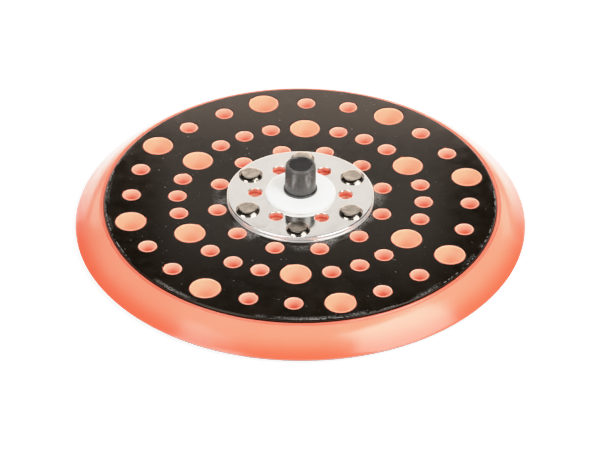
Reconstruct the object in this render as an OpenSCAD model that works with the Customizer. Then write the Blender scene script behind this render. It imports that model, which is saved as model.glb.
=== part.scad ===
// Multi-hole backing pad of a 150 mm random orbital sander, with a male spindle stud.
// It lies on its hook face. The origin is the centre of that face at floor level, and +Z runs
// up along the stud. Everything is in millimetres.

/* [Foam body] */
// Diameter of the pad at its widest, the size of the abrasive disc
pad_d = 150; // [148:0.5:154]
// Thickness of the hook sheet on the underside
hook_t = 1.2; // [1:0.1:1.6]
// How much smaller the hook sheet is than the pad, on the radius
hook_inset = 0.4; // [0.2:0.1:0.8]
// Foam between the hook sheet and the backing plate
foam_t = 5.2; // [5:0.1:7]
// Height of the upright land at the foam's widest edge
land_h = 0.3; // [0.2:0.1:0.8]
// Slope of the flared side, in degrees from the floor
flare_deg = 40.4; // [39:0.2:43]
// How far the foam lip lies below the top of the backing plate
lip_drop = 0.8; // [0.5:0.1:1]
// Rounding where the lip turns into the flared side
lip_round = 1; // [0.6:0.1:1.2]

/* [Backing plate] */
// Diameter of the backing plate
plate_d = 130.2; // [129:0.2:131]
// Thickness of the backing plate
plate_t = 3; // [2.6:0.1:3.4]
// Rounding of the plate's top edge
plate_round = 0.5; // [0.2:0.1:0.7]

/* [Dust holes] */
// Diameter of a large hole in the plate, with the foam collar in it
big_d = 10.3; // [9.8:0.1:10.6]
// Diameter of a small hole in the plate, with the foam collar in it
small_d = 6.3; // [6:0.1:6.4]
// Wall of the foam collar that lines each plate hole
collar_w = 0.5; // [0.4:0.05:0.6]
// Radius of the ring of large holes near the edge
outer_big_r = 57.2; // [56.6:0.1:57.6]
// Radius of the ring of small holes near the edge
outer_small_r = 56.2; // [55.8:0.1:57.4]
// Radius of the middle ring, of large and small holes
middle_r = 40.9; // [40.5:0.1:41.5]
// Angle between a small hole halfway between two large ones and its neighbours
middle_step_deg = 13.6; // [12:0.1:14]
// Radius of the inner ring, just outside the hub
inner_r = 28.1; // [28:0.1:28.6]
// Radius of the ring of air holes through the hub
air_r = 15; // [14.8:0.1:15.2]
// Diameter of an air hole in the hub's steel discs
air_d = 4.7; // [4.6:0.1:5.2]

/* [Hub] */
// Diameter of the hub's steel discs
hub_d = 48.8; // [48:0.2:49]
// Thickness of the hub's upper disc
hub_top_t = 1.3; // [1.1:0.1:1.6]
// Thickness of the hub's lower disc
hub_low_t = 0.8; // [0.6:0.1:1]
// Chamfer on the rims of the steel discs
disc_chamfer = 0.2; // [0.1:0.05:0.25]
// Thickness of the clamp disc under the backing plate
clamp_t = 1.2; // [1:0.1:1.4]

/* [Rivets] */
// Radius of the ring of rivets
rivet_r = 19.6; // [19.2:0.1:19.8]
// Diameter of a rivet's head where it sits on the hub
head_d = 7.9; // [7.6:0.1:8.2]
// Diameter of the flat on top of a rivet's head
head_flat_d = 6.1; // [6:0.1:6.6]
// Height of a rivet's head
head_h = 1; // [0.8:0.1:1.2]
// Diameter of a rivet's shank
shank_d = 4.6; // [4.2:0.1:5]
// Diameter of a rivet's clinched tail
tail_d = 6.6; // [6:0.1:7]
// Height of a rivet's clinched tail
tail_h = 0.9; // [0.7:0.1:1.1]

/* [Stud, spacer and cap] */
// Major diameter of the spindle thread, 5/16 inch
thread_d = 7.938; // [7.8:0.001:8]
// Length of the stud above the hub
stud_l = 10.8; // [10:0.1:11.2]
// Length of the thread relief above the hub
relief_h = 1.2; // [1:0.1:1.6]
// Depth of the chamfer on the stud's tip
tip_h = 0.8; // [0.6:0.1:1]
// Diameter of the stud's head, under the clamp disc
stud_head_d = 14; // [13:0.5:15]
// Diameter of the spacer washer
spacer_d = 23.3; // [22.5:0.1:23.5]
// Thickness of the spacer washer
spacer_t = 1.8; // [1.6:0.1:2.4]
// Bore of the spacer washer
spacer_bore_d = 9.2; // [9.1:0.05:9.4]
// Diameter of the cap just above its flange
cap_d = 10.4; // [10.2:0.1:10.8]
// Diameter of the cap's flange
cap_flange_d = 11.2; // [10.9:0.1:11.6]
// Height of the cap
cap_h = 10.2; // [10:0.1:10.8]
// Bore of the cap
cap_bore_d = 9.1; // [9.05:0.05:9.2]

/* [Hidden] */
$fn = 96;
gap = 0.05;                            // clearance between pieces that nest
eps = 0.5;                             // how far a cut runs past the face it opens
stud_head_t = 1.6;                     // thickness of the stud's head
stud_edge = 0.4;                       // chamfer on the stud's head
relief_w = 0.7;                        // depth of the thread relief, on the radius
tip_w = 0.8;                           // width of the chamfer on the stud's tip
tail_edge = 0.4;                       // chamfer on a rivet's tail
head_rim_h = 0.25;                     // upright rim of a rivet's head
rim_h = 0.3;                           // upright part of the spacer washer's rim
foot_edge = 0.1;                       // chamfer at the foot of that rim

// Levels, from the floor up
plate_z = hook_t + foam_t;             // underside of the backing plate
plate_top = plate_z + plate_t;
hub_top_z = plate_top + hub_low_t;     // underside of the hub's upper disc
hub_top = hub_top_z + hub_top_t;
spacer_top = hub_top + spacer_t;
clamp_z = plate_z - clamp_t;           // underside of the clamp disc
head_z = clamp_z - stud_head_t;        // underside of the stud's head
stud_top = hub_top + stud_l;
neck_r = 5;                            // press-fit neck of the stud
centre_bore_r = 4.7;                   // hole in the foam under the stud's head

// Hole places as [radius, angle]
function ring(r, count, start) = [for (i = [0:count - 1]) [r, start + i * 360 / count]];
big_holes = concat(ring(outer_big_r, 8, 15), ring(middle_r, 6, 30));
small_holes = concat(
    [for (i = [0:23]) if (i % 3 != 1) [outer_small_r, 15 * i]],
    [for (side = [-1:1]) each ring(middle_r, 6, side * middle_step_deg)],
    ring(inner_r, 12, 15));
air_holes = ring(air_r, 6, 0);
rivet_places = ring(rivet_r, 6, 30);

// Points along an arc about c
function arc(c, r, from, to, steps = 6) =
    [for (i = [0:steps]) let (a = from + (to - from) * i / steps) c + r * [cos(a), sin(a)]];

module at(places)
    for (p = places) rotate(p[1]) translate([p[0], 0, 0]) children();

// Outlines of all dust holes, made narrower by inset on the radius
module dust_outlines(inset) {
    at(big_holes) circle(d = big_d - 2 * inset);
    at(concat(small_holes, air_holes)) circle(d = small_d - 2 * inset);
}

// Upright cut through everything between two heights
module cut(z0, z1) translate([0, 0, z0 - eps]) linear_extrude(z1 - z0 + 2 * eps) children();

// Flat steel disc with chamfered rims and a chamfered centre hole
module disc(z, t, r, bore_r) {
    c = disc_chamfer;
    translate([0, 0, z]) rotate_extrude() polygon([
        [bore_r, 0], [r - c, 0], [r, c], [r, t - c], [r - c, t], [bore_r, t]]);
}

// Air holes and rivet holes of a steel disc
module disc_outlines(air_hole_d) {
    at(air_holes) circle(d = air_hole_d);
    at(rivet_places) circle(d = shank_d + 2 * gap);
}

// Protective cap over the stud: flange, slightly tapered body, rounded shoulder, dished top
module stud_cap() {
    r = cap_d / 2;
    taper = 0.25;
    shoulder = 0.8;
    flange_r = cap_flange_d / 2;
    flange_h = 0.9;
    flange_edge = 0.3;
    dish_r = 4;
    dish_w = 0.3;
    dish_h = 0.2;
    tip_gap = 0.2;                         // air between the stud's tip and the cap's roof
    cavity_h = stud_top + tip_gap - spacer_top;
    color("dimgray") translate([0, 0, spacer_top]) difference() {
        rotate_extrude() polygon(concat(
            [[0, 0], [flange_r, 0], [flange_r, flange_h - flange_edge],
             [flange_r - flange_edge, flange_h], [r, flange_h]],
            arc([r - taper - shoulder, cap_h - shoulder], shoulder, 0, 90),
            [[dish_r, cap_h], [dish_r - dish_w, cap_h - dish_h], [0, cap_h - dish_h]]));
        translate([0, 0, -eps]) cylinder(d = cap_bore_d, h = cavity_h + eps);
    }
}

// Plastic spacer washer with a well rounded upper rim
module spacer_washer() {
    r = spacer_d / 2;
    round_r = spacer_t - rim_h;
    color("white") translate([0, 0, hub_top]) rotate_extrude() polygon(concat(
        [[spacer_bore_d / 2, 0], [r - foot_edge, 0], [r, foot_edge]],
        arc([r - round_r, spacer_t - round_r], round_r, 0, 90),
        [[spacer_bore_d / 2, spacer_t]]));
}

// Stud: head under the clamp disc, press-fit neck, thread relief, thread at its major diameter
module threaded_stud() {
    r = thread_d / 2;
    relief_r = r - relief_w;
    head_r = stud_head_d / 2;
    color("silver") rotate_extrude() polygon([
        [0, head_z], [head_r - stud_edge, head_z], [head_r, head_z + stud_edge], [head_r, clamp_z],
        [neck_r, clamp_z], [neck_r, hub_top], [relief_r, hub_top],
        [relief_r, hub_top + relief_h], [r, hub_top + relief_h], [r, stud_top - tip_h],
        [r - tip_w, stud_top], [0, stud_top]]);
}

// One rivet: flat-topped head on the hub, shank, clinched tail under the clamp disc
module rivet() {
    tail_z = clamp_z - tail_h;
    color("gray") rotate_extrude() polygon([
        [0, tail_z], [tail_d / 2 - tail_edge, tail_z], [tail_d / 2, tail_z + tail_edge],
        [tail_d / 2, clamp_z], [shank_d / 2, clamp_z], [shank_d / 2, hub_top], [head_d / 2, hub_top],
        [head_d / 2, hub_top + head_rim_h], [head_flat_d / 2, hub_top + head_h], [0, hub_top + head_h]]);
}

module rivets() at(rivet_places) rivet();

// Upper disc of the hub
module hub_plate()
    color("lightgray") difference() {
        disc(hub_top_z, hub_top_t, hub_d / 2, neck_r + gap);
        cut(hub_top_z, hub_top) disc_outlines(air_d);
    }

// Lower disc of the hub
module hub_underplate()
    color("darkgray") difference() {
        disc(plate_top, hub_low_t, hub_d / 2, neck_r + gap);
        cut(plate_top, hub_top_z) disc_outlines(air_d);
    }

// Disc under the backing plate that the rivets are clinched on; its air holes let the foam through
module clamp_disc()
    color("silver") difference() {
        disc(clamp_z, clamp_t, hub_d / 2, neck_r + gap);
        cut(clamp_z, plate_z) disc_outlines(small_d);
    }

// Stiff black plate with every dust hole, the rivet holes and the stud hole
module backing_plate() {
    r = plate_d / 2;
    c = [r - plate_round, plate_t - plate_round];
    color("black") difference() {
        translate([0, 0, plate_z]) rotate_extrude() polygon(concat(
            [[neck_r + gap, 0], [r, 0]], arc(c, plate_round, 0, 90, 4), [[neck_r + gap, plate_t]]));
        cut(plate_z, plate_top) {
            dust_outlines(0);
            at(rivet_places) circle(d = shank_d + 2 * gap);
        }
    }
}

// Foam: flared body, lip around the plate, collars up through the plate, pockets for the steel
module foam_body() {
    r = pad_d / 2;
    seat_r = plate_d / 2 + gap;
    lip_z = plate_top - lip_drop;
    side = [sin(flare_deg), cos(flare_deg)];       // outward direction of the flared side
    foot = [r, hook_t + land_h];
    lip_c_z = lip_z - lip_round;
    lip_c = [(side * foot - lip_round - side[1] * lip_c_z) / side[0], lip_c_z];
    color("salmon") difference() {
        union() {
            rotate_extrude() polygon(concat(
                [[0, hook_t], [r, hook_t], foot],
                arc(lip_c, lip_round, 90 - flare_deg, 90),
                [[seat_r, lip_z], [seat_r, plate_z], [0, plate_z]]));
            translate([0, 0, plate_z - eps]) linear_extrude(plate_t + eps) dust_outlines(gap);
        }
        cut(hook_t, plate_top) dust_outlines(gap + collar_w);
        translate([0, 0, clamp_z]) linear_extrude(clamp_t) difference() {
            circle(r = hub_d / 2 + gap);
            at(air_holes) circle(d = small_d - 2 * gap);
        }
        translate([0, 0, head_z]) cylinder(r = stud_head_d / 2 + gap, h = clamp_z - head_z + gap);
        translate([0, 0, hook_t - eps]) cylinder(r = centre_bore_r, h = head_z - hook_t + 2 * eps);
        at(rivet_places) translate([0, 0, clamp_z - tail_h])
            cylinder(d = tail_d + 2 * gap, h = tail_h + gap);
    }
}

// Hook sheet on the underside, with the same hole pattern
module hook_face()
    color("dimgray") linear_extrude(hook_t) difference() {
        circle(r = pad_d / 2 - hook_inset);
        dust_outlines(gap + collar_w);
        circle(r = centre_bore_r);
    }

stud_cap();
spacer_washer();
threaded_stud();
rivets();
hub_plate();
hub_underplate();
backing_plate();
clamp_disc();
foam_body();
hook_face();
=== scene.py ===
import math
import random

import bmesh
import bpy
from mathutils import Matrix, Vector, noise
from mathutils.geometry import delaunay_2d_cdt


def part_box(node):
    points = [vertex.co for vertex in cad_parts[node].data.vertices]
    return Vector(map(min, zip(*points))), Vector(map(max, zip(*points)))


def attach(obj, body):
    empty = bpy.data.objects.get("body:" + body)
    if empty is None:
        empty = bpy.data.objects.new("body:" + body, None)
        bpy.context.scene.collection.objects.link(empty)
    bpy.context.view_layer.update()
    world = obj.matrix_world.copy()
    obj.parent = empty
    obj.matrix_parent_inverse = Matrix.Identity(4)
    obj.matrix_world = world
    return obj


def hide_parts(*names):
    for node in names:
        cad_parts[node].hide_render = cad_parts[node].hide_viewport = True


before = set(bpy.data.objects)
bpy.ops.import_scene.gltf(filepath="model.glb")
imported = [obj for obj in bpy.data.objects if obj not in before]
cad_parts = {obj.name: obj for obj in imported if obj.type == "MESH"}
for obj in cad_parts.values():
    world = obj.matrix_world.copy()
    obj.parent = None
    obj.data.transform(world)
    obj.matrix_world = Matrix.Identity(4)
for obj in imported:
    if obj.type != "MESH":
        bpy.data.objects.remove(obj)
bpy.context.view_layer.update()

# Shapes are built in millimetres, in the row frame, and scaled to metres as they become meshes.
MM = 0.001
TAU = math.tau


def sine(degrees):
    return math.sin(math.radians(degrees))


def box_mm(node):
    """A CAD node's lowest and highest corners."""
    lo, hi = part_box(node)
    return lo / MM, hi / MM


def heights(node):
    lo, hi = box_mm(node)
    return lo.z, hi.z


def radius_of(node):
    lo, hi = box_mm(node)
    return (hi.x - lo.x) / 2


HOOK_LO, HOOK_HI = heights("hook_face")
PLATE_LO, PLATE_HI = heights("backing_plate")
CLAMP_LO = heights("clamp_disc")[0]
LOWER_LO, LOWER_HI = heights("hub_underplate")
UPPER_LO, UPPER_HI = heights("hub_plate")
SPACER_LO, SPACER_HI = heights("spacer_washer")
CAP_LO, CAP_HI = heights("stud_cap")
RIVET_LO, RIVET_HI = heights("rivets")
STUD_LO, STUD_HI = heights("threaded_stud")
PAD_R = radius_of("foam_body")
HOOK_R = radius_of("hook_face")
PLATE_R = radius_of("backing_plate")
HUB_R = radius_of("hub_plate")
SPACER_R = radius_of("spacer_washer")
CAP_R = radius_of("stud_cap")
HEAD_R = radius_of("threaded_stud")

# Sizes that the frame doesn't give, as in part.scad
BIG_R, SMALL_R, AIR_R = 5.15, 3.15, 2.35
COLLAR_W, GAP = 0.5, 0.05
NECK_R, CENTRE_R = 5.05, 4.7
RIVET_HOLE_R, TAIL_R = 2.35, 3.3
SHANK_R, RIVET_HEAD_R, RIVET_FLAT_R = 2.3, 3.95, 3.05
THREAD_R, THREAD_PITCH = 3.969, 25.4 / 24
SPACER_BORE_R, CAP_BORE_R = 4.6, 4.55
OUTER_BIG_RING, OUTER_SMALL_RING, MIDDLE_RING, INNER_RING = 57.2, 56.2, 40.9, 28.1
AIR_RING, RIVET_RING = 15.0, 19.6
TRIPLET_TURN = 13.6

# Radii of the bores through the foam's collars
BIG_BORE_R = BIG_R - GAP - COLLAR_W
SMALL_BORE_R = SMALL_R - GAP - COLLAR_W

# Vertices round each kind of circle
RIM_COUNT, DISC_COUNT, POCKET_COUNT, SPACER_COUNT, CAP_COUNT = 384, 192, 128, 128, 96
THREAD_COUNT, BORE_COUNT, RIVET_BODY_COUNT = 72, 64, 64
BIG_COUNT, SMALL_COUNT, AIR_COUNT, RIVET_COUNT, CENTRE_COUNT = 56, 40, 32, 24, 48


def polar(radius, count, start=0.0):
    """Centres of count holes on a circle, from start degrees."""
    angles = [math.radians(start + 360 * i / count) for i in range(count)]
    return [(radius * math.cos(a), radius * math.sin(a)) for a in angles]


BIG = polar(OUTER_BIG_RING, 8, 15) + polar(MIDDLE_RING, 6, 30)
SMALL = (
    [c for i, c in enumerate(polar(OUTER_SMALL_RING, 24)) if i % 3 != 1]
    + polar(MIDDLE_RING, 6)
    + polar(MIDDLE_RING, 6, TRIPLET_TURN)
    + polar(MIDDLE_RING, 6, -TRIPLET_TURN)
    + polar(INNER_RING, 12, 15)
)
AIR = polar(AIR_RING, 6)
RIVETS = polar(RIVET_RING, 6, 30)
CENTRE = [(0.0, 0.0)]


# ---------------------------------------------------------------- shapes


class Shape:
    """A mesh being built: vertices in millimetres, faces, and the material slot of some faces."""

    def __init__(self):
        self.verts, self.faces = [], []
        self.marks = {}

    def ring(self, radius, z, count, centre=(0.0, 0.0), wobble=None):
        """A circle of vertices; radius and z may depend on the angle through wobble."""
        start = len(self.verts)
        for i in range(count):
            a = TAU * i / count
            r, h = (radius, z) if wobble is None else wobble(a, radius, z)
            self.verts.append((centre[0] + r * math.cos(a), centre[1] + r * math.sin(a), h))
        return list(range(start, start + count))

    def band(self, a, b):
        """Quads between two rings of the same count."""
        n = len(a)
        for i in range(n):
            j = (i + 1) % n
            self.faces.append((a[i], a[j], b[j], b[i]))

    def sweep(self, profile, count, centre=(0.0, 0.0), wobble=None):
        """Turns a profile of (radius, z) round an upright axis. Returns its first and last rings."""
        rings = [self.ring(r, z, count, centre, wobble) for r, z in profile]
        for a, b in zip(rings, rings[1:]):
            self.band(a, b)
        return rings[0], rings[-1]

    def close(self, ring, z, centre=(0.0, 0.0)):
        """Closes a ring with a fan to one vertex."""
        self.verts.append((centre[0], centre[1], z))
        tip = len(self.verts) - 1
        n = len(ring)
        for i in range(n):
            self.faces.append((ring[i], ring[(i + 1) % n], tip))

    def fill(self, outline, holes):
        """Triangles over a flat, round outline, around its round holes."""
        loops = [outline] + holes
        index = [v for loop in loops for v in loop]
        owner = [k for k, loop in enumerate(loops) for _ in loop]
        points = [Vector(self.verts[v][:2]) for v in index]
        edges, at = [], 0
        for loop in loops:
            n = len(loop)
            edges += [(at + i, at + (i + 1) % n) for i in range(n)]
            at += n
        _, _, tris, origin, _, _ = delaunay_2d_cdt(points, edges, [], 0, 1e-6)
        for tri in tris:
            corners = [origin[v][0] for v in tri]
            owners = {owner[c] for c in corners}
            inside_a_hole = len(owners) == 1 and owners != {0}
            if not inside_a_hole:
                self.faces.append(tuple(index[c] for c in corners))

    def mark(self, first, slot):
        """Gives the faces from number first on the piece's material of that slot."""
        for f in range(first, len(self.faces)):
            self.marks[f] = slot

    def build(self, name, material, body, replaced, sharp=38.0):
        """The finished piece: smooth but for its real edges, riding on its body."""
        mesh = bpy.data.meshes.new(name)
        mesh.from_pydata([Vector(v) * MM for v in self.verts], [], self.faces)
        for f, k in self.marks.items():
            mesh.polygons[f].material_index = k
        bm = bmesh.new()
        bm.from_mesh(mesh)
        bmesh.ops.recalc_face_normals(bm, faces=bm.faces)
        bm.to_mesh(mesh)
        bm.free()
        mesh.shade_smooth()
        mesh.set_sharp_from_angle(angle=math.radians(sharp))
        for m in material if isinstance(material, list) else [material]:
            mesh.materials.append(m)
        piece = bpy.data.objects.new(name, mesh)
        bpy.context.scene.collection.objects.link(piece)
        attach(piece, body)
        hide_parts(replaced)
        return piece


def arc(r, z, radius, start, end, steps=4):
    """Points of a rounding about (r, z), in the profile's plane, from start to end degrees."""
    out = []
    for i in range(steps + 1):
        a = math.radians(start + (end - start) * i / steps)
        out.append((r + radius * math.cos(a), z + radius * math.sin(a)))
    return out


def mouth(r, z, radius, steps=3, margin=0.08):
    """Profile out of a hole through its rounded mouth, onto the flat surface around it."""
    return arc(r + radius, z - radius, radius, 180, 90, steps) + [(r + radius + margin, z)]


def around(a, height, scale=1.0):
    """Where to read a noise so that it runs round a circle without a seam."""
    return Vector((math.cos(a), math.sin(a), height)) * scale


# ---------------------------------------------------------------- materials


def darker(colour, share):
    return tuple(c * share for c in colour)


class Nodes:
    """A node material with short ways to add and join its nodes. Places and bumps are in millimetres."""

    def __init__(self, name):
        self.material = bpy.data.materials.new(name)
        self.material.use_nodes = True
        self.tree = self.material.node_tree
        self.shader = self.tree.nodes["Principled BSDF"]
        self.place = self.add("ShaderNodeTexCoord").outputs["Object"]

    def add(self, kind, **settings):
        node = self.tree.nodes.new(kind)
        for key, value in settings.items():
            setattr(node, key, value)
        return node

    def link(self, source, target):
        """Joins target to source, which is another node's output, a number or a colour."""
        if hasattr(source, "is_output"):
            self.tree.links.new(source, target)
        elif isinstance(source, tuple):
            target.default_value = (*source, 1.0)
        else:
            target.default_value = source

    def set(self, **values):
        """Constants on the shader's own sockets."""
        for key, value in values.items():
            self.shader.inputs[key.replace("_", " ")].default_value = value

    def noise(self, scale, detail=2.0, rough=0.5, where=None):
        """Noise, mostly between 0.3 and 0.7, with scale waves to a metre."""
        node = self.add("ShaderNodeTexNoise")
        node.inputs["Scale"].default_value = scale
        node.inputs["Detail"].default_value = detail
        node.inputs["Roughness"].default_value = rough
        self.link(self.place if where is None else where, node.inputs["Vector"])
        return node.outputs["Fac"]

    def cells(self, scale):
        """Distance to the nearest of many scattered points, in their own spacing."""
        node = self.add("ShaderNodeTexVoronoi")
        node.inputs["Scale"].default_value = scale
        self.link(self.place, node.inputs["Vector"])
        return node.outputs["Distance"]

    def step(self, value, low, high, out_low=0.0, out_high=1.0):
        """value mapped smoothly from low..high to out_low..out_high."""
        node = self.add("ShaderNodeMapRange", interpolation_type="SMOOTHSTEP")
        self.link(value, node.inputs["Value"])
        node.inputs["From Min"].default_value = low
        node.inputs["From Max"].default_value = high
        node.inputs["To Min"].default_value = out_low
        node.inputs["To Max"].default_value = out_high
        return node.outputs["Result"]

    def math(self, operation, a, b=0.0):
        node = self.add("ShaderNodeMath", operation=operation)
        self.link(a, node.inputs[0])
        self.link(b, node.inputs[1])
        return node.outputs[0]

    def times(self, first, *others):
        """The product of masks and numbers."""
        for other in others:
            first = self.math("MULTIPLY", first, other)
        return first

    def band(self, value, rise, top_from, top_to, fall):
        """1 where value is from top_from to top_to, fading out to 0 at rise and at fall."""
        return self.times(self.step(value, rise, top_from), self.step(value, top_to, fall, 1.0, 0.0))

    def patches(self, scale, detail, low, high, out_low=0.0, out_high=1.0, rough=0.5):
        """Soft patches: noise mapped from low..high to out_low..out_high."""
        return self.step(self.noise(scale, detail, rough), low, high, out_low, out_high)

    def dots(self, scale, core, edge):
        """Scattered dots: 1 within core of their middles, 0 beyond edge."""
        return self.step(self.cells(scale), core, edge, 1.0, 0.0)

    def mix(self, share, a, b):
        node = self.add("ShaderNodeMix", data_type="RGBA")
        self.link(share, node.inputs["Factor"])
        self.link(a, node.inputs["A"])
        self.link(b, node.inputs["B"])
        return node.outputs["Result"]

    def stretched(self, sx, sy, sz):
        """The place, scaled along each axis."""
        node = self.add("ShaderNodeMapping")
        node.inputs["Scale"].default_value = (sx, sy, sz)
        self.link(self.place, node.inputs["Vector"])
        return node.outputs["Vector"]

    def radius(self):
        """Distance from the pad's axis."""
        node = self.add("ShaderNodeVectorMath", operation="LENGTH")
        self.link(self.stretched(1 / MM, 1 / MM, 0), node.inputs[0])
        return node.outputs["Value"]

    def along(self, axis):
        """Position along one axis."""
        node = self.add("ShaderNodeSeparateXYZ")
        self.link(self.stretched(1 / MM, 1 / MM, 1 / MM), node.inputs[0])
        return node.outputs[axis]

    def height(self):
        return self.along("Z")

    def level(self):
        """1 on level faces, 0 on upright walls, and less than 1 the steeper a slope is."""
        node = self.add("ShaderNodeSeparateXYZ")
        self.link(self.add("ShaderNodeNewGeometry").outputs["True Normal"], node.inputs[0])
        return self.math("ABSOLUTE", node.outputs["Z"])

    def upright(self):
        """1 on upright walls, 0 on level faces."""
        return self.step(self.level(), 0.3, 0.6, 1.0, 0.0)

    def bump(self, value, depth, strength, under=None):
        node = self.add("ShaderNodeBump")
        node.inputs["Distance"].default_value = depth * MM
        node.inputs["Strength"].default_value = strength
        self.link(value, node.inputs["Height"])
        if under is not None:
            self.link(under, node.inputs["Normal"])
        return node.outputs["Normal"]

    def done(self, colour, rough, normal=None):
        for key, value in (("Base Color", colour), ("Roughness", rough), ("Normal", normal)):
            if value is not None:
                self.link(value, self.shader.inputs[key])
        return self.material


def foam_material(name, low, high, span, foot, foot_top):
    """Moulded foam, going from the low colour to the high one over a span of heights."""
    n = Nodes(name)
    n.set(IOR=1.54, Specular_IOR_Level=0.32)
    n.set(Sheen_Weight=0.02, Sheen_Roughness=0.4, Sheen_Tint=(1.0, 0.92, 0.88, 1.0))
    shade, speck = (0.7, 0.12, 0.075), (0.4, 0.1, 0.06)
    colour = n.mix(n.step(n.height(), *span), low, high)
    colour = n.mix(n.patches(55, 3, 0.35, 0.7, 0.0, 0.12), colour, darker(low, 0.9))
    # shade gathers in the groove beside the plate, and low down
    groove = n.band(n.radius(), PLATE_R + 0.2, PLATE_R + 0.35, PLATE_R + 1.05, PLATE_R + 1.5)
    colour = n.mix(n.times(groove, 0.6), colour, shade)
    colour = n.mix(n.step(n.height(), foot_top, foot_top - 0.3), colour, foot)
    colour = n.mix(n.times(n.dots(260, 0.05, 0.12), n.patches(140, 1, 0.64, 0.7)), colour, speck)
    rough = n.patches(900, 2, 0.3, 0.7, 0.15, 0.22)
    grain = n.bump(n.noise(1500, 4, 0.6), 0.007, 0.3)
    pores = n.bump(n.step(n.cells(2300), 0.05, 0.35), 0.006, 0.3, grain)
    return n.done(colour, rough, pores)


def plate_material():
    """Black plastic under a thin film of dust, with specks, and grey where it is rubbed."""
    n = Nodes("plate_black")
    n.set(IOR=1.5, Specular_IOR_Level=0.27, Specular_Tint=(1.0, 0.88, 0.76, 1.0))
    colour = n.mix(n.patches(70, 4, 0.35, 0.7), (0.0036, 0.0019, 0.0006), (0.006, 0.0034, 0.0012))
    film = n.times(n.patches(38, 5, 0.5, 0.75, rough=0.65), n.patches(1100, 2, 0.35, 0.7))
    colour = n.mix(n.times(film, 0.012), colour, (0.36, 0.33, 0.3))
    dust = n.times(n.dots(420, 0.06, 0.16), n.patches(260, 2, 0.5, 0.68))
    colour = n.mix(n.times(dust, 0.3), colour, (0.42, 0.4, 0.37))
    motes = n.times(n.dots(950, 0.05, 0.14), n.patches(330, 2, 0.52, 0.62))
    colour = n.mix(n.times(motes, 0.16), colour, (0.5, 0.46, 0.42))
    # rubbed patches inside the outer edge, a worn line on its rounding, and smears beside the hub
    grain = n.patches(1700, 3, 0.4, 0.62, rough=0.7)
    inside = n.band(n.radius(), PLATE_R - 2.1, PLATE_R - 1.1, PLATE_R - 0.8, PLATE_R - 0.3)
    front = n.step(n.along("Y"), 20, -30, 0.12, 1.0)
    rubbed = n.times(inside, front, n.patches(60, 2, 0.5, 0.6), grain, 0.7)
    rounding = n.band(n.radius(), PLATE_R - 0.75, PLATE_R - 0.6, PLATE_R - 0.45, PLATE_R - 0.3)
    broken = n.patches(900, 2, 0.46, 0.56)
    worn = n.times(rounding, n.step(n.along("Y"), 40, 0, 0.2, 1.0), n.patches(34, 2, 0.46, 0.56), broken)
    beside_hub = n.step(n.radius(), HUB_R + 5.5, HUB_R + 0.5)
    smear = n.times(beside_hub, n.patches(85, 3, 0.47, 0.62), n.patches(1500, 3, 0.36, 0.62, rough=0.7))
    scuff = n.math("MAXIMUM", n.math("MAXIMUM", rubbed, worn), n.times(smear, 0.9))
    colour = n.mix(n.times(scuff, 0.7), colour, (0.3, 0.29, 0.28))
    rough = n.math("ADD", n.patches(240, 3, 0.3, 0.7, 0.14, 0.2), n.times(scuff, 0.3))
    waves = n.bump(n.noise(45, 1), 0.25, 0.12)
    return n.done(colour, rough, n.bump(n.noise(2600, 3, 0.6), 0.02, 0.3, waves))


def hub_material(name, tint, rough_low, rough_high):
    """Steel sheet, finely brushed both ways, dull on its sheared walls, with a painted reflection of the foam
    on the walls of its holes.
    """
    n = Nodes(name)
    n.set(Metallic=1.0)
    colour = n.mix(n.patches(130, 4, 0.35, 0.75), tint, darker(tint, 0.94))
    sheared = n.upright()
    colour = n.mix(sheared, colour, (0.92, 0.9, 0.88))
    # painted reflection: the walls of the holes are tinted coral for the foam under them that they would
    # mirror, more of it lower down
    inner = n.times(sheared, n.step(n.radius(), HUB_R - 1, HUB_R - 2))
    painted_reflection = n.mix(n.step(n.height(), LOWER_LO, UPPER_HI), (0.8, 0.2, 0.12), (0.94, 0.62, 0.5))
    colour = n.mix(inner, colour, painted_reflection)
    rough = n.patches(180, 4, 0.3, 0.75, rough_low, rough_high, rough=0.6)
    rough = n.math("ADD", rough, n.times(sheared, 0.6))
    lengthways = n.noise(1.0, 2, 0.6, n.stretched(2600, 90, 500))
    crossways = n.noise(1.0, 2, 0.6, n.stretched(70, 2300, 500))
    waves = n.bump(n.noise(26, 1), 0.18, 0.3)
    return n.done(colour, rough, n.bump(n.math("ADD", lengthways, crossways), 0.006, 0.25, waves))


def rivet_material():
    """Steel with a dark finish and pits; painted shade darkens the cone of each head, so its flat top shows
    lighter.
    """
    n = Nodes("rivet_steel")
    n.set(Metallic=1.0)
    colour = n.mix(n.patches(420, 4, 0.35, 0.7), (0.46, 0.4, 0.335), (0.6, 0.53, 0.46))
    pits = n.times(n.dots(1100, 0.08, 0.2), n.patches(500, 2, 0.5, 0.65))
    colour = n.mix(pits, colour, (0.2, 0.17, 0.14))
    # painted shade on the cone of each head, standing in for the dark surroundings it mirrors
    cone = n.band(n.level(), 0.3, 0.55, 0.88, 0.96)
    colour = n.mix(n.times(cone, 0.85), colour, (0.1, 0.085, 0.07))
    rough = n.patches(700, 3, 0.3, 0.7, 0.12, 0.2)
    return n.done(colour, rough, n.bump(n.noise(900, 4, 0.6), 0.02, 0.25))


def steel_material(name, tint):
    """Turned steel, with fine marks that run round it."""
    n = Nodes(name)
    n.set(Metallic=1.0)
    turned = n.noise(1.0, 2, 0.6, n.stretched(150, 150, 5200))
    colour = n.mix(n.step(turned, 0.3, 0.7), tint, darker(tint, 0.86))
    return n.done(colour, n.patches(600, 3, 0.3, 0.7, 0.2, 0.36), n.bump(turned, 0.01, 0.4))


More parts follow.
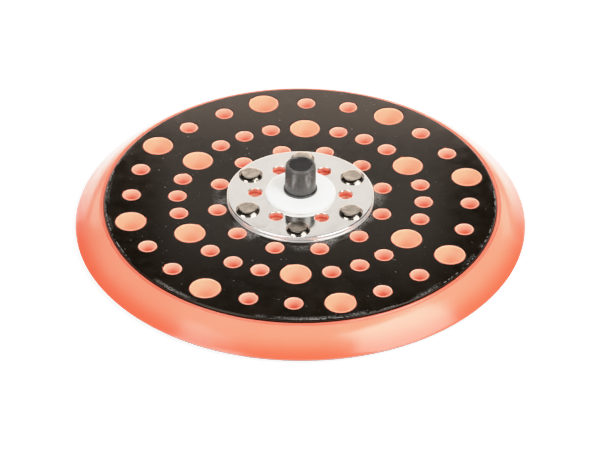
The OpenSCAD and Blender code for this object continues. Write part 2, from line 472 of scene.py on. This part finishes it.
def spacer_material():
    """White plastic that lets a little light in."""
    n = Nodes("spacer_white")
    n.set(IOR=1.5, Subsurface_Weight=0.12, Subsurface_Scale=0.0012)
    colour = n.mix(n.patches(160, 4, 0.35, 0.72), (0.96, 0.96, 0.94), (0.92, 0.915, 0.89))
    return n.done(colour, n.patches(900, 2, 0.3, 0.7, 0.34, 0.46), n.bump(n.noise(1300, 3), 0.02, 0.3))


def cap_material():
    """Dark grey plastic with drawn marks, with painted shade in its dished top and in the crease of its
    flange.
    """
    n = Nodes("cap_grey")
    n.set(IOR=1.5, Specular_IOR_Level=0.55)
    colour = n.mix(n.patches(260, 4, 0.3, 0.7), (0.06, 0.057, 0.053), (0.085, 0.081, 0.076))
    # painted shade in the crease above the flange and, with a ragged edge, in the dished top
    crease = n.band(n.height(), CAP_LO + 0.62, CAP_LO + 0.78, CAP_LO + 0.95, CAP_LO + 1.25)
    ragged = n.math("ADD", n.radius(), n.patches(900, 3, 0.3, 0.7, -0.3, 0.3, rough=0.6))
    dish_shade = n.times(n.step(ragged, 4.2, 3.6), n.step(n.height(), CAP_HI - 1, CAP_HI - 0.3))
    colour = n.mix(n.math("MAXIMUM", dish_shade, n.times(crease, 0.7)), colour, (0.0025, 0.002, 0.0016))
    rough = n.math("ADD", n.patches(500, 3, 0.3, 0.7, 0.24, 0.32), n.times(dish_shade, 0.5))
    drawn = n.noise(1.0, 3, 0.6, n.stretched(900, 900, 60))
    return n.done(colour, rough, n.bump(drawn, 0.03, 0.3, n.bump(n.noise(1400, 3), 0.03, 0.3)))


def hook_material(name, light, dark):
    """Woven or moulded nylon, in rows."""
    n = Nodes(name)
    n.set(IOR=1.5, Sheen_Weight=0.25, Sheen_Roughness=0.5)
    weave = n.add("ShaderNodeTexWave", bands_direction="X")
    weave.inputs["Scale"].default_value = 380
    weave.inputs["Distortion"].default_value = 1.5
    n.link(n.place, weave.inputs["Vector"])
    colour = n.mix(n.patches(120, 3, 0.35, 0.7), light, dark)
    colour = n.mix(n.times(weave.outputs["Fac"], 0.2), colour, dark)
    return n.done(colour, n.patches(800, 2, 0.3, 0.7, 0.5, 0.7), n.bump(weave.outputs["Fac"], 0.06, 0.5))


def floor_material():
    """White board, lit from within so that it comes out as white as the photograph's ground."""
    n = Nodes("floor_white")
    n.set(Specular_IOR_Level=0.1, Emission_Color=(1.0, 1.0, 1.0, 1.0), Emission_Strength=1.05)
    return n.done(n.mix(n.noise(9), (0.95, 0.95, 0.95), (0.96, 0.96, 0.96)), 0.9)


# ---------------------------------------------------------------- foam body


def foam_profile():
    """Outline of the foam's side: foot, flare, crest, groove and lip, then down beside the plate."""
    corner = 0.15
    foot = HOOK_HI + 0.3
    low, top = Vector((PAD_R, foot)), Vector((PLATE_R + 2.15, PLATE_HI - 1.28))
    crest_r, crest_z, crest_round = PLATE_R + 1.53, PLATE_HI - 0.93, 0.35
    groove_r, groove_z, groove_round = PLATE_R + 1.1, PLATE_HI - 1.12, 0.15
    lip_r, lip_z, lip_round = PLATE_R + 0.47, PLATE_HI - 0.77, 0.43
    flank = top - low
    proud = Vector((flank.y, -flank.x)).normalized()
    steps = 12
    flare = []
    for i in range(1, steps + 1):
        t = i / steps
        swell = 0.12 * math.sin(math.pi * t) + 2.0 * (1 - t) * t ** 3
        flare.append(tuple(low + t * flank + swell * proud))
    return (
        [(PAD_R - 0.6, HOOK_HI)]
        + arc(PAD_R - corner, HOOK_HI + corner, corner, -90, 0, 3)
        + arc(PAD_R - corner, foot - 0.1, corner, 0, 40, 2)[1:]
        + flare
        + arc(crest_r, crest_z - crest_round, crest_round, 60, 135, 5)
        + arc(groove_r, groove_z + groove_round, groove_round, -45, -135, 4)
        + arc(lip_r, lip_z - lip_round, lip_round, 35, 150, 6)
        + [(PLATE_R + GAP, PLATE_LO + 0.2), (PLATE_R + GAP, PLATE_LO)]
    )


def uneven_side(a, r, z):
    """Shallow dents in the moulded side, and a slightly uneven crest."""
    if r < PLATE_R + 1:
        return r, z
    dent = noise.noise(around(a, z * 0.05, 9.0)) + noise.noise(around(a, z * 0.05, 3.1))
    rise = 0.02 * noise.noise(around(a, z * 0.05, 14.0)) if r < PAD_R - 1 else 0
    return r - 0.05 * abs(dent), z + rise


def collar(s, rng, centre, hole_r, base_z, count, flush, slot):
    """A foam tube up through one hole, with an uneven mouth and small nubs of flash.

    Returns its ring at base_z and its ring in the hook sheet's plane.
    """
    outer, inner = hole_r - GAP, hole_r - GAP - COLLAR_W
    phase, drop = rng.uniform(0, 50), rng.uniform(0.0, 0.06)
    nubs = [(rng.uniform(0, TAU), rng.uniform(0.12, 0.3)) for _ in range(rng.choice((0, 1, 1, 2)))]
    nub_half = 0.16

    def uneven(a, r, z):
        h = z
        if z > flush - 0.5:
            h = z - drop + 0.03 * noise.noise(around(a, phase, 2.5))
            if r > outer - 0.2:
                for at, size in nubs:
                    off = abs((a - at + math.pi) % TAU - math.pi)
                    if off < nub_half:
                        r += size * (1 - off / nub_half)
                        h = max(h, flush + 0.01)
        if r < inner + 0.2:
            r += 0.04 * noise.noise(around(a, phase, 3.0) + Vector((0, 0, z)))
        return r, h

    outside = [(outer, base_z), (outer, flush - 0.2)]
    outside += [(outer - 0.04, flush - 0.07), (outer - 0.2, flush - 0.01)]
    edge = [(inner + 0.16, flush), (inner + 0.06, flush - 0.06), (inner, flush - 0.2)]
    bore = [(inner, flush - 1.6), (inner, base_z - 0.8), (inner, HOOK_HI + 1.2), (inner, HOOK_HI)]
    first = len(s.faces)
    ends = s.sweep(outside + edge + bore, count, centre, uneven)
    bands_outside = len(outside) - 1
    s.mark(first + bands_outside * count, slot)
    return ends


def foam_materials():
    """The skin, then the big and the small bores, coloured lighter than the skin as painted light inside the
    holes, and darker deeper down as painted shade.
    """
    # painted shade near the hook sheet: a dark colour low on the skin and at the bottom of the bores
    foot, foot_top = (0.42, 0.2, 0.16), HOOK_HI + 0.42
    bore_shade, bore_shade_top = (0.5, 0.1, 0.06), HOOK_HI + 0.7
    return [
        foam_material("foam_coral", (0.9, 0.108, 0.052), (0.94, 0.24, 0.15), (1.4, 7.8), foot, foot_top),
        foam_material("foam_bores", (0.94, 0.355, 0.205), (0.97, 0.51, 0.34), (2, 8), bore_shade, bore_shade_top),
        foam_material("foam_small_bores", (0.92, 0.2, 0.105), (0.96, 0.52, 0.39), (4.5, 8.3), foot, foot_top),
    ]


def foam_pad():
    """Moulded foam: flared side, collars up through the plate, and pockets for the steel parts."""
    s = Shape()
    bottom, seat = s.sweep(foam_profile(), RIM_COUNT, wobble=uneven_side)
    seat_holes, floor_holes, bottom_holes = [], [], []
    rng = random.Random(7)
    big_slot, small_slot = 1, 2
    under_hub = PLATE_HI - 0.03
    for centres, r, base_z, count, flush, slot, tops in (
        (BIG, BIG_R, PLATE_LO, BIG_COUNT, PLATE_HI, big_slot, seat_holes),
        (SMALL, SMALL_R, PLATE_LO, SMALL_COUNT, PLATE_HI, small_slot, seat_holes),
        (AIR, SMALL_R, CLAMP_LO, SMALL_COUNT, under_hub, small_slot, floor_holes),
    ):
        for centre in centres:
            top, low = collar(s, rng, centre, r, base_z, count, flush, slot)
            tops.append(top)
            bottom_holes.append(low)
    for centre in RIVETS:
        top, low = s.sweep([(TAIL_R + GAP, CLAMP_LO), (TAIL_R + GAP, RIVET_LO)], RIVET_COUNT, centre)
        s.fill(low, [])
        floor_holes.append(top)
    head, shelf = s.sweep([(HEAD_R + GAP, CLAMP_LO), (HEAD_R + GAP, STUD_LO)], BORE_COUNT)
    floor_holes.append(head)
    bore, low = s.sweep([(CENTRE_R, STUD_LO), (CENTRE_R, HOOK_HI + 0.3), (CENTRE_R, HOOK_HI)], BORE_COUNT)
    s.band(shelf, bore)
    bottom_holes.append(low)
    pocket, pocket_floor = s.sweep([(HUB_R + GAP, PLATE_LO), (HUB_R + GAP, CLAMP_LO)], POCKET_COUNT)
    seat_holes.append(pocket)
    s.fill(seat, seat_holes)
    s.fill(pocket_floor, floor_holes)
    s.fill(bottom, bottom_holes)

    piece = s.build("foam_pad", foam_materials(), "pad", "foam_body")
    return piece


# ---------------------------------------------------------------- backing plate


def plate():
    """Stiff plate with a rounded, slightly worn edge and soft mouths on its holes."""
    s = Shape()
    edge, flat_margin = 0.5, 0.15

    def worn(a, r, z):
        if z < PLATE_HI - 1:
            return r, z
        wear = max(0.0, noise.noise(around(a, 0.3, 13.0)))
        chips = max(0.0, noise.noise(around(a, 0.3, 20.0)))
        return r - 0.06 * wear, z - 0.02 * chips

    profile = (
        [(PLATE_R - 0.4, PLATE_LO), (PLATE_R, PLATE_LO), (PLATE_R, PLATE_HI - edge - 0.1)]
        + arc(PLATE_R - edge, PLATE_HI - edge, edge, 0, 90, 5)
    )
    bottom, rim = s.sweep(profile, RIM_COUNT, wobble=worn)
    inset = s.ring(PLATE_R - edge - flat_margin, PLATE_HI, RIM_COUNT)
    s.band(rim, inset)
    tops, lows = [], []
    for centres, r, count, soft in (
        (BIG, BIG_R, BIG_COUNT, 0.28),
        (SMALL, SMALL_R, SMALL_COUNT, 0.22),
        (AIR, SMALL_R, AIR_COUNT, 0.1),
        (RIVETS, RIVET_HOLE_R, RIVET_COUNT, 0.1),
        (CENTRE, NECK_R, CENTRE_COUNT, 0.1),
    ):
        for centre in centres:
            low, top = s.sweep([(r, PLATE_LO)] + mouth(r, PLATE_HI, soft), count, centre)
            lows.append(low)
            tops.append(top)
    s.fill(inset, tops)
    s.fill(bottom, lows)
    return s.build("backing_plate_black", plate_material(), "pad", "backing_plate")


# ---------------------------------------------------------------- hub


def steel_disc(name, low, high, soft, hole_soft, material, replaced):
    """A blanked steel disc with rolled-over edges at its rim and its holes."""
    s = Shape()
    under, flat_margin = 0.12, 0.12
    profile = (
        [(HUB_R - 0.5, low), (HUB_R - under, low), (HUB_R, low + under), (HUB_R, high - soft)]
        + arc(HUB_R - soft, high - soft, soft, 0, 90, 5)[1:]
        + [(HUB_R - soft - flat_margin, high)]
    )
    bottom, top = s.sweep(profile, DISC_COUNT)
    tops, lows = [], []
    for centres, r, count in (
        (AIR, AIR_R, SMALL_COUNT),
        (RIVETS, RIVET_HOLE_R, RIVET_COUNT),
        (CENTRE, NECK_R, CENTRE_COUNT),
    ):
        for centre in centres:
            lo_ring, hi_ring = s.sweep([(r, low)] + mouth(r, high, hole_soft), count, centre)
            lows.append(lo_ring)
            tops.append(hi_ring)
    s.fill(top, tops)
    s.fill(bottom, lows)
    return s.build(name, material, "pad", replaced)


def hub():
    """The two steel discs, the upper one polished."""
    upper = hub_material("hub_polished", (0.86, 0.845, 0.82), 0.06, 0.16)
    lower = hub_material("hub_lower_steel", (0.7, 0.69, 0.67), 0.14, 0.28)
    steel_disc("hub_upper_disc", UPPER_LO, UPPER_HI, 0.32, 0.19, upper, "hub_plate")
    steel_disc("hub_lower_disc", LOWER_LO, LOWER_HI, 0.28, 0.02, lower, "hub_underplate")


def rivet_profile(sink):
    """Outline of a rivet: tail, shank, and a head with an upright foot, a cone and a sunk flat top."""
    top = RIVET_HI
    tail_round, foot_round, flat_round = 0.3, 0.06, 0.2
    cone = 54
    return (
        arc(TAIL_R - tail_round, RIVET_LO + tail_round, tail_round, -90, 0, 3)
        + [(TAIL_R, CLAMP_LO), (SHANK_R, CLAMP_LO), (SHANK_R, UPPER_HI), (RIVET_HEAD_R - 0.05, UPPER_HI)]
        + [(RIVET_HEAD_R, UPPER_HI + 0.05)]
        + arc(RIVET_HEAD_R - foot_round, UPPER_HI + 0.3, foot_round, 0, cone, 2)
        + arc(RIVET_FLAT_R, top - flat_round - 0.03, flat_round, cone, 90, 2)
        + [(RIVET_FLAT_R * k, top - sink * (1 - k * k)) for k in (0.93, 0.8, 0.6, 0.4, 0.2)]
    )


def rivets():
    """Six rivets, each with its own dents, phase and sunk top."""
    material = rivet_material()
    rng = random.Random(21)
    for i, centre in enumerate(RIVETS):
        s = Shape()
        phase = rng.uniform(0, 40)
        sink = rng.uniform(0.02, 0.06)

        def hammered(a, r, z, phase=phase):
            p = Vector((math.cos(a) * r * 0.5, math.sin(a) * r * 0.5, phase))
            if z > UPPER_HI + 0.5:
                z += 0.03 * noise.noise(p * 1.6) + 0.012 * noise.noise(p * 5.0)
            if z > UPPER_HI - 0.01:
                r += 0.05 * noise.noise(around(a, phase + 9, 1.5))
            return r, min(z, RIVET_HI)

        low, high = s.sweep(rivet_profile(sink), RIVET_BODY_COUNT, centre, hammered)
        s.close(low, RIVET_LO, centre)
        s.close(high, RIVET_HI - sink, centre)
        s.build(f"rivet_{i + 1}", material, "pad", "rivets")


def stud():
    """Spindle stud: head, press-fit neck, relief and a right-hand helical thread."""
    s = Shape()
    neck = NECK_R - GAP
    head_round = 0.4
    relief_r, relief_h = THREAD_R - 0.7, 1.2
    start, tip = UPPER_HI + relief_h, STUD_HI
    chamfer, run_out = 0.8, 0.5
    depth_per_pitch = 0.6134
    depth = depth_per_pitch * THREAD_PITCH
    crest_half, flank_part = 0.12, 0.7
    rows_per_turn = 14

    def thread(a, r, z):
        if z < start - 0.01:
            return r, z
        turn = (z / THREAD_PITCH - a / TAU) % 1.0
        across = abs(turn - 0.5) * 2
        flank = min(1.0, max(0.0, (across - crest_half) / flank_part))
        cut = depth * flank * min(1.0, (z - start) / run_out)
        taper = max(0.0, z - (tip - chamfer))
        return THREAD_R - max(cut, taper), z

    rows = int((tip - start) / THREAD_PITCH * rows_per_turn)
    profile = (
        arc(HEAD_R - head_round, STUD_LO + head_round, head_round, -90, 0, 3)
        + [(HEAD_R, CLAMP_LO), (neck, CLAMP_LO), (neck, UPPER_HI - 0.2), (neck - 0.2, UPPER_HI)]
        + [(relief_r + 0.25, UPPER_HI), (relief_r, UPPER_HI + 0.25), (relief_r, start - 0.3)]
        + [(THREAD_R, start + (tip - start) * i / rows) for i in range(rows + 1)]
    )
    low, high = s.sweep(profile, THREAD_COUNT, wobble=thread)
    s.close(low, STUD_LO)
    dimple_r, dimple_depth = 1.2, 0.6
    inner = s.ring(dimple_r, tip, THREAD_COUNT)
    s.band(high, inner)
    s.close(inner, tip - dimple_depth)
    material = steel_material("stud_steel", (0.66, 0.65, 0.62))
    return s.build("threaded_stud_steel", material, "pad", "threaded_stud", sharp=30)


# ---------------------------------------------------------------- spacer and cap


def spacer():
    """Plastic washer with a well rounded upper rim."""
    s = Shape()
    r, lo, hi = SPACER_R, SPACER_LO, SPACER_HI
    rim, foot, bore_top, bore_foot = 1.3, 0.2, 0.25, 0.1
    rim_margin, bore_margin = 1.8, 0.5
    profile = (
        arc(SPACER_BORE_R + bore_foot, lo + bore_foot, bore_foot, 180, 270, 2)
        + arc(r - foot, lo + foot, foot, -90, 0, 3)
        + arc(r - rim, hi - rim, rim, 8, 90, 8)
        + [(r - rim_margin, hi), (SPACER_BORE_R + bore_margin, hi)]
        + arc(SPACER_BORE_R + bore_top, hi - bore_top, bore_top, 90, 180, 3)
    )
    first, last = s.sweep(profile, SPACER_COUNT)
    s.band(last, first)
    return s.build("spacer_white", spacer_material(), "spacer", "spacer_washer")


def cap():
    """Pull-off cap: bore, flange, crease, slightly tapered body, round shoulder and dished top."""
    s = Shape()
    lo, hi = CAP_LO, CAP_HI
    roof = STUD_HI + 0.2
    body, taper, waist, neck = 5.2, 0.2, 1.15, 0.9
    flange, flange_round = 0.8, 0.2
    shoulder = 0.62
    rim_r, dip = 4.2, 0.26
    dish_r, dish_edge, dish_middle = 2.0, 0.24, 0.22
    dip_run = 2 * dip * sine(60)

    def drawn(a, r, z):
        if r < CAP_BORE_R + 0.1:
            return r, z
        return r + 0.02 * noise.noise(around(a, z * 0.12, 2.2)), z

    def side(u):
        return body - 0.02 - taper * u ** 1.5, lo + waist + (hi - neck - lo - waist) * u

    profile = (
        [(CAP_BORE_R, roof), (CAP_BORE_R, lo + 0.2), (CAP_BORE_R + 0.2, lo)]
        + arc(CAP_R - flange_round, lo + flange_round, flange_round, -90, 0, 3)
        + arc(CAP_R - flange_round, lo + flange - flange_round, flange_round, 0, 90, 3)
        + [(body + 0.05, lo + flange), (body - 0.06, lo + flange + 0.06)]
        + [side(u) for u in (0, 0.15, 0.35, 0.6, 0.8, 1)]
        + arc(body - taper - 0.05 - shoulder, hi - shoulder, shoulder, 12, 90, 8)
        + arc(rim_r, hi - dip, dip, 90, 150, 4)
        + arc(rim_r - dip_run, hi, dip, -30, -90, 4)[1:]
        + [(dish_r, hi - dish_edge)]
    )
    inside, top = s.sweep(profile, CAP_COUNT, wobble=drawn)
    s.close(top, hi - dish_middle)
    s.close(inside, roof)
    return s.build("stud_cap_grey", cap_material(), "cap", "stud_cap")


# ---------------------------------------------------------------- hook sheet


def hook_carrier(holes, underside):
    """The sheet that carries the hooks, with its holes."""
    s = Shape()
    profile = [
        (HOOK_R - 0.3, HOOK_HI),
        (HOOK_R, HOOK_HI - 0.02),
        (HOOK_R, underside + 0.05),
        (HOOK_R - 0.08, underside),
        (HOOK_R - 0.3, underside),
    ]
    top, low = s.sweep(profile, RIM_COUNT)
    tops, lows = [], []
    for centre, r, count in holes:
        a, b = s.sweep([(r, HOOK_HI), (r, underside)], count, centre)
        tops.append(a)
        lows.append(b)
    s.fill(top, tops)
    s.fill(low, lows)
    material = hook_material("hook_sheet", (0.17, 0.13, 0.12), (0.11, 0.085, 0.08))
    s.build("hook_carrier", material, "pad", "hook_face")


def hook(s, x, y, top, lean, turn):
    """One small hook: a tapered stem that bends over at its lower end. lean is 1 or -1, turn an angle."""
    ahead, aside = math.cos(turn) * lean, math.sin(turn) * lean
    # at each station: how far along the lean, how far down from the sheet, and half the width
    stations = ((0.0, 0.0, 0.2), (0.03, 0.35, 0.13), (0.16, top - 0.02, 0.11), (0.36, top - 0.16, 0.07))
    flatness = 0.8
    rings = []
    for along, down, half in stations:
        ring = []
        for u, v in ((-1, -flatness), (1, -flatness), (1, flatness), (-1, flatness)):
            px, py = along + half * u, half * v
            ring.append(len(s.verts))
            z = max(HOOK_LO, top - down)
            s.verts.append((x + px * ahead - py * aside, y + px * aside + py * ahead, z))
        rings.append(ring)
    for a, b in zip(rings, rings[1:]):
        s.band(a, b)
    s.faces.append(tuple(rings[0]))
    s.faces.append(tuple(rings[-1]))


def hook_pile(holes, underside):
    """Staggered rows of hooks, leaning one way and the other, clear of the holes."""
    s = Shape()
    rng = random.Random(5)
    pitch_x, pitch_y = 1.6, 1.4
    scatter, twist = 0.12, 0.25
    clear_of_rim, clear_of_holes = 0.6, 0.45
    rows = int(HOOK_R / pitch_y)
    for j in range(-rows, rows + 1):
        odd = j % 2
        lean = 1 if odd else -1
        for i in range(-rows, rows + 1):
            x = (i + 0.5 * odd) * pitch_x + rng.uniform(-scatter, scatter)
            y = j * pitch_y + rng.uniform(-scatter, scatter)
            if math.hypot(x, y) > HOOK_R - clear_of_rim:
                continue
            if any(math.hypot(x - c[0], y - c[1]) < r + clear_of_holes for c, r, _ in holes):
                continue
            hook(s, x, y, underside, lean, rng.uniform(-twist, twist))
    material = hook_material("hook_pile", (0.42, 0.37, 0.34), (0.3, 0.26, 0.24))
    s.build("hook_pile", material, "pad", "hook_face", sharp=60)


def hook_sheet():
    carrier_thickness = 0.55
    underside = HOOK_HI - carrier_thickness
    holes = [(c, BIG_BORE_R, BIG_COUNT) for c in BIG]
    holes += [(c, SMALL_BORE_R, SMALL_COUNT) for c in SMALL + AIR]
    holes += [(c, CENTRE_R, BORE_COUNT) for c in CENTRE]
    hook_carrier(holes, underside)
    hook_pile(holes, underside)


def clamp_disc():
    """The hidden clamp disc keeps its CAD shape and gets a steel surface."""
    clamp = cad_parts["clamp_disc"]
    clamp.data.materials.clear()
    clamp.data.materials.append(steel_material("clamp_steel", (0.6, 0.6, 0.58)))


# ---------------------------------------------------------------- light and camera


def area(name, place, size, power, colour=(1, 1, 1), target=(0, 0, 0)):
    """A rectangular softbox that faces its target. Places and sizes are in metres."""
    light = bpy.data.lights.new(name, "AREA")
    light.shape = "RECTANGLE"
    light.size, light.size_y = size
    light.energy = power
    light.color = colour
    lamp = bpy.data.objects.new(name, light)
    bpy.context.scene.collection.objects.link(lamp)
    lamp.location = place
    lamp.rotation_euler = (Vector(target) - Vector(place)).to_track_quat("-Z", "Y").to_euler()
    return lamp


def surroundings():
    """A bright horizon all round, and a dim pale room at the front and sides, up to 34 degrees."""
    world = bpy.data.worlds.new("studio")
    bpy.context.scene.world = world
    world.use_nodes = True
    tree = world.node_tree
    back = tree.nodes["Background"]
    place = tree.nodes.new("ShaderNodeTexCoord")
    split = tree.nodes.new("ShaderNodeSeparateXYZ")
    tree.links.new(place.outputs["Generated"], split.inputs[0])

    def fade(axis, start, end, low, high):
        """Strength from low to high as a direction's part along one axis goes from start to end."""
        node = tree.nodes.new("ShaderNodeMapRange")
        node.interpolation_type = "SMOOTHSTEP"
        tree.links.new(split.outputs[axis], node.inputs["Value"])
        for socket, value in zip(("From Min", "From Max", "To Min", "To Max"), (start, end, low, high)):
            node.inputs[socket].default_value = value
        return node.outputs["Result"]

    def join(operation, a, b):
        node = tree.nodes.new("ShaderNodeMath")
        node.operation = operation
        tree.links.new(a, node.inputs[0])
        tree.links.new(b, node.inputs[1])
        return node.outputs[0]

    horizon = fade("Z", 0.0, sine(5), 0.6, 0.04)
    room = join("MULTIPLY", fade("Y", 0.6, 0.0, 0.0, 0.4), fade("Z", sine(20), sine(34), 1.0, 0.0))
    tree.links.new(join("ADD", horizon, room), back.inputs["Strength"])
    back.inputs["Color"].default_value = (1.0, 0.97, 0.94, 1)


def floor():
    """A pale table that glows a little, six metres wide."""
    mesh = bpy.data.meshes.new("floor")
    half = 3.0
    corners = [(-half, -half, 0), (half, -half, 0), (half, half, 0), (-half, half, 0)]
    mesh.from_pydata(corners, [], [(0, 1, 2, 3)])
    mesh.materials.append(floor_material())
    table = bpy.data.objects.new("floor", mesh)
    bpy.context.scene.collection.objects.link(table)


def lights():
    """A key and a fill in front, one light from above, and two panels behind for the steel to mirror."""
    area("key", (0.56, -0.31, 0.64), (0.6, 0.48), 9.2, (1, 0.985, 0.965))
    area("front_left", (-0.7, -0.72, 0.65), (0.62, 0.6), 8.0)
    area("top", (-0.2, 0.25, 0.95), (0.5, 0.5), 3.4)
    # the panels hang upright, so each faces a point at its own height
    behind, low_z, high_x, high_z = 0.2, 0.08, -0.006, 0.1545
    area("backdrop_low", (0, behind, low_z), (0.6, 0.08), 0.42, (1, 0.85, 0.75), (0, 0, low_z))
    high_at = (high_x, behind, high_z)
    area("backdrop_high", high_at, (0.118, 0.065), 0.022, (1, 0.95, 0.9), (high_x, 0, high_z))


def exposure():
    """A photographic shoulder: straight up to the mid tones, then easing slowly into white."""
    settings = bpy.context.scene.view_settings
    settings.view_transform = "Standard"
    settings.use_curve_mapping = True
    mapping = settings.curve_mapping
    white = 3.0
    mapping.white_level = (white,) * 3
    combined = mapping.curves[3]
    mid = ((0.5, 0.5), (0.75, 0.72), (0.95, 0.84), (1.15, 0.895))
    bright = ((1.5, 0.93), (1.8, 0.948), (2.05, 0.985), (2.2, 0.999))
    for light, shown in mid + bright:
        combined.points.new(light / white, shown)
    for point in combined.points:
        point.handle_type = "AUTO_CLAMPED"
    mapping.update()


def camera():
    """The photograph's camera: its lens, height, distance and slight roll, fitted to the holes.

    Its lengths are in millimetres.
    """
    elevation, azimuth, roll = math.radians(36.67), math.radians(2.0), -0.004
    lens, sensor = 184.26, 36.0
    distance, off_right, off_up = 1019.6, 0.136, 8.738
    ahead = Vector((0, math.cos(elevation), -math.sin(elevation)))
    level_right, level_up = Vector((1, 0, 0)), Vector((0, math.sin(elevation), math.cos(elevation)))
    right = math.cos(roll) * level_right - math.sin(roll) * level_up
    up = math.sin(roll) * level_right + math.cos(roll) * level_up
    target = Vector((0, 0, PLATE_HI))
    place = target - (off_right * right + off_up * up + distance * ahead)
    turn = Matrix.Rotation(azimuth, 4, "Z")
    axes = Matrix((right, up, -ahead)).transposed().to_4x4()
    data = bpy.data.cameras.new("camera")
    data.lens, data.sensor_width = lens, sensor
    data.clip_start, data.clip_end = 0.05, 20
    cam = bpy.data.objects.new("camera", data)
    bpy.context.scene.collection.objects.link(cam)
    cam.matrix_world = turn @ Matrix.Translation(place * MM) @ axes
    bpy.context.scene.camera = cam


foam_pad()
plate()
hub()
rivets()
stud()
spacer()
cap()
hook_sheet()
clamp_disc()
surroundings()
floor()
lights()
exposure()
camera()
